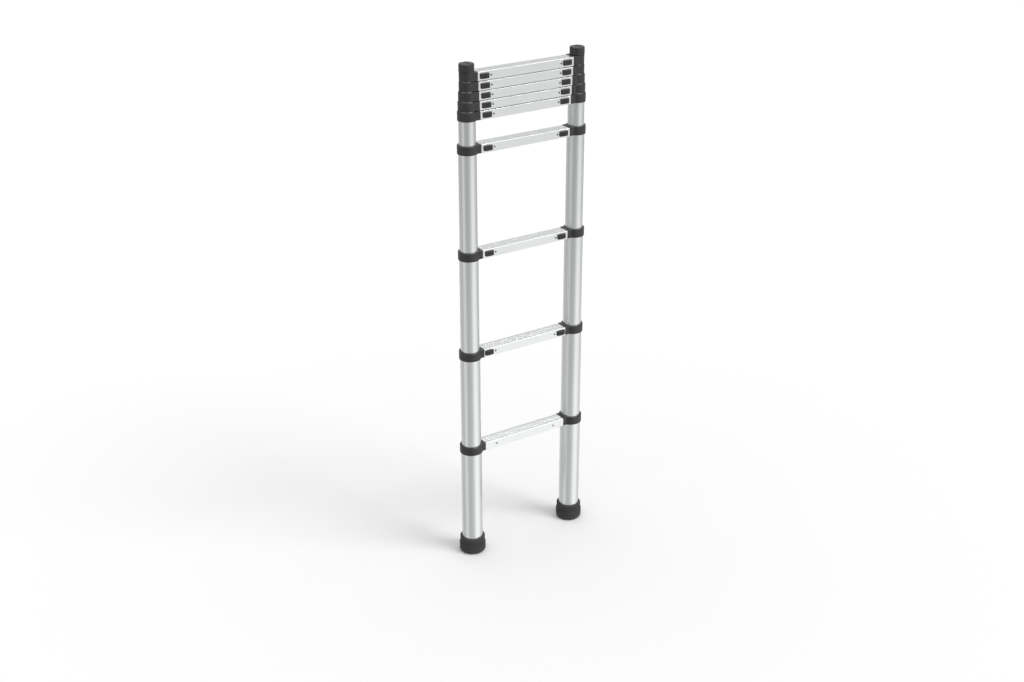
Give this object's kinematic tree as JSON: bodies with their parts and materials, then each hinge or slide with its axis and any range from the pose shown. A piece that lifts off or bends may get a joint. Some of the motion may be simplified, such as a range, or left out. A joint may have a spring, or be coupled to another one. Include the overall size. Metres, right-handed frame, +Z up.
{
  "type": "telescoping ladder",
  "caption": "Telescoping straight ladder of nested round aluminium tubes with plastic collars, flat hollow rungs, thumb latches, end caps and rubber feet.",
  "frame": {"origin": "on the floor midway between the two feet", "axes": "+X along the rungs, +Z up the stiles, -Y to the side with the thumb latches"},
  "size_m": [0.4298, 0.0778, 1.4771],
  "materials": {
    "tube_aluminium": "satin brushed, clear anodised",
    "rung_aluminium": "satin extrusion",
    "black_plastic": "fine moulded texture",
    "black_rubber": "matte",
    "dark_steel": "dark zinc"
  },
  "bodies": {
    "section_1": {"foot_left": "black_rubber", "foot_right": "black_rubber", "tubes_1": "tube_aluminium", "collars_1": "black_plastic", "rung_1": "rung_aluminium", "screws_1": "dark_steel"},
    "section_2": {"tubes_2": "tube_aluminium", "collars_2": "black_plastic", "rung_2": "rung_aluminium", "screws_2": "dark_steel"},
    "section_3": {"tubes_3": "tube_aluminium", "collars_3": "black_plastic", "rung_3": "rung_aluminium", "screws_3": "dark_steel"},
    "section_4": {"tubes_4": "tube_aluminium", "collars_4": "black_plastic", "rung_4": "rung_aluminium", "screws_4": "dark_steel"},
    "section_5": {"tubes_5": "tube_aluminium", "collars_5": "black_plastic", "rung_5": "rung_aluminium", "screws_5": "dark_steel"},
    "section_6": {"tubes_6": "tube_aluminium", "collars_6": "black_plastic", "rung_6": "rung_aluminium", "screws_6": "dark_steel"},
    "section_7": {"tubes_7": "tube_aluminium", "collars_7": "black_plastic", "rung_7": "rung_aluminium", "screws_7": "dark_steel"},
    "section_8": {"tubes_8": "tube_aluminium", "collars_8": "black_plastic", "rung_8": "rung_aluminium", "screws_8": "dark_steel"},
    "section_9": {"tubes_9": "tube_aluminium", "collars_9": "black_plastic", "rung_9": "rung_aluminium", "screws_9": "dark_steel", "top_cap_left": "black_plastic", "top_cap_right": "black_plastic"},
    "left_latch_2": {"latch_left_2": "black_plastic"},
    "right_latch_2": {"latch_right_2": "black_plastic"},
    "left_latch_3": {"latch_left_3": "black_plastic"},
    "right_latch_3": {"latch_right_3": "black_plastic"},
    "left_latch_4": {"latch_left_4": "black_plastic"},
    "right_latch_4": {"latch_right_4": "black_plastic"},
    "left_latch_5": {"latch_left_5": "black_plastic"},
    "right_latch_5": {"latch_right_5": "black_plastic"},
    "left_latch_6": {"latch_left_6": "black_plastic"},
    "right_latch_6": {"latch_right_6": "black_plastic"},
    "left_latch_7": {"latch_left_7": "black_plastic"},
    "right_latch_7": {"latch_right_7": "black_plastic"},
    "left_latch_8": {"latch_left_8": "black_plastic"},
    "right_latch_8": {"latch_right_8": "black_plastic"},
    "left_latch_9": {"latch_left_9": "black_plastic"},
    "right_latch_9": {"latch_right_9": "black_plastic"}
  },
  "joints": [
    {"name": "section_2_slide", "type": "slide", "parent": "section_1", "child": "section_2", "axis": [0, 0, 1], "range_m": [-0.2738, 0]},
    {"name": "section_3_slide", "type": "slide", "parent": "section_2", "child": "section_3", "axis": [0, 0, 1], "range_m": [-0.2738, 0]},
    {"name": "section_4_slide", "type": "slide", "parent": "section_3", "child": "section_4", "axis": [0, 0, 1], "range_m": [-0.2738, 0]},
    {"name": "section_5_slide", "type": "slide", "parent": "section_4", "child": "section_5", "axis": [0, 0, 1], "range_m": [-0.0644, 0.2094]},
    {"name": "section_6_slide", "type": "slide", "parent": "section_5", "child": "section_6", "axis": [0, 0, 1], "range_m": [0, 0.2738]},
    {"name": "section_7_slide", "type": "slide", "parent": "section_6", "child": "section_7", "axis": [0, 0, 1], "range_m": [0, 0.2738]},
    {"name": "section_8_slide", "type": "slide", "parent": "section_7", "child": "section_8", "axis": [0, 0, 1], "range_m": [0, 0.2738]},
    {"name": "section_9_slide", "type": "slide", "parent": "section_8", "child": "section_9", "axis": [0, 0, 1], "range_m": [0, 0.2738]},
    {"name": "left_latch_2_slide", "type": "slide", "parent": "section_2", "child": "left_latch_2", "axis": [1, 0, 0], "range_m": [0, 0.008], "stiffness_N_per_m": 350, "springref_m": -0.01},
    {"name": "right_latch_2_slide", "type": "slide", "parent": "section_2", "child": "right_latch_2", "axis": [-1, 0, 0], "range_m": [0, 0.008], "stiffness_N_per_m": 350, "springref_m": -0.01},
    {"name": "left_latch_3_slide", "type": "slide", "parent": "section_3", "child": "left_latch_3", "axis": [1, 0, 0], "range_m": [0, 0.008], "stiffness_N_per_m": 350, "springref_m": -0.01},
    {"name": "right_latch_3_slide", "type": "slide", "parent": "section_3", "child": "right_latch_3", "axis": [-1, 0, 0], "range_m": [0, 0.008], "stiffness_N_per_m": 350, "springref_m": -0.01},
    {"name": "left_latch_4_slide", "type": "slide", "parent": "section_4", "child": "left_latch_4", "axis": [1, 0, 0], "range_m": [0, 0.008], "stiffness_N_per_m": 350, "springref_m": -0.01},
    {"name": "right_latch_4_slide", "type": "slide", "parent": "section_4", "child": "right_latch_4", "axis": [-1, 0, 0], "range_m": [0, 0.008], "stiffness_N_per_m": 350, "springref_m": -0.01},
    {"name": "left_latch_5_slide", "type": "slide", "parent": "section_5", "child": "left_latch_5", "axis": [1, 0, 0], "range_m": [0, 0.008], "stiffness_N_per_m": 350, "springref_m": -0.01},
    {"name": "right_latch_5_slide", "type": "slide", "parent": "section_5", "child": "right_latch_5", "axis": [-1, 0, 0], "range_m": [0, 0.008], "stiffness_N_per_m": 350, "springref_m": -0.01},
    {"name": "left_latch_6_slide", "type": "slide", "parent": "section_6", "child": "left_latch_6", "axis": [1, 0, 0], "range_m": [0, 0.008], "stiffness_N_per_m": 350, "springref_m": -0.01},
    {"name": "right_latch_6_slide", "type": "slide", "parent": "section_6", "child": "right_latch_6", "axis": [-1, 0, 0], "range_m": [0, 0.008], "stiffness_N_per_m": 350, "springref_m": -0.01},
    {"name": "left_latch_7_slide", "type": "slide", "parent": "section_7", "child": "left_latch_7", "axis": [1, 0, 0], "range_m": [0, 0.008], "stiffness_N_per_m": 350, "springref_m": -0.01},
    {"name": "right_latch_7_slide", "type": "slide", "parent": "section_7", "child": "right_latch_7", "axis": [-1, 0, 0], "range_m": [0, 0.008], "stiffness_N_per_m": 350, "springref_m": -0.01},
    {"name": "left_latch_8_slide", "type": "slide", "parent": "section_8", "child": "left_latch_8", "axis": [1, 0, 0], "range_m": [0, 0.008], "stiffness_N_per_m": 350, "springref_m": -0.01},
    {"name": "right_latch_8_slide", "type": "slide", "parent": "section_8", "child": "right_latch_8", "axis": [-1, 0, 0], "range_m": [0, 0.008], "stiffness_N_per_m": 350, "springref_m": -0.01},
    {"name": "left_latch_9_slide", "type": "slide", "parent": "section_9", "child": "left_latch_9", "axis": [1, 0, 0], "range_m": [0, 0.008], "stiffness_N_per_m": 350, "springref_m": -0.01},
    {"name": "right_latch_9_slide", "type": "slide", "parent": "section_9", "child": "right_latch_9", "axis": [-1, 0, 0], "range_m": [0, 0.008], "stiffness_N_per_m": 350, "springref_m": -0.01}
  ]
}
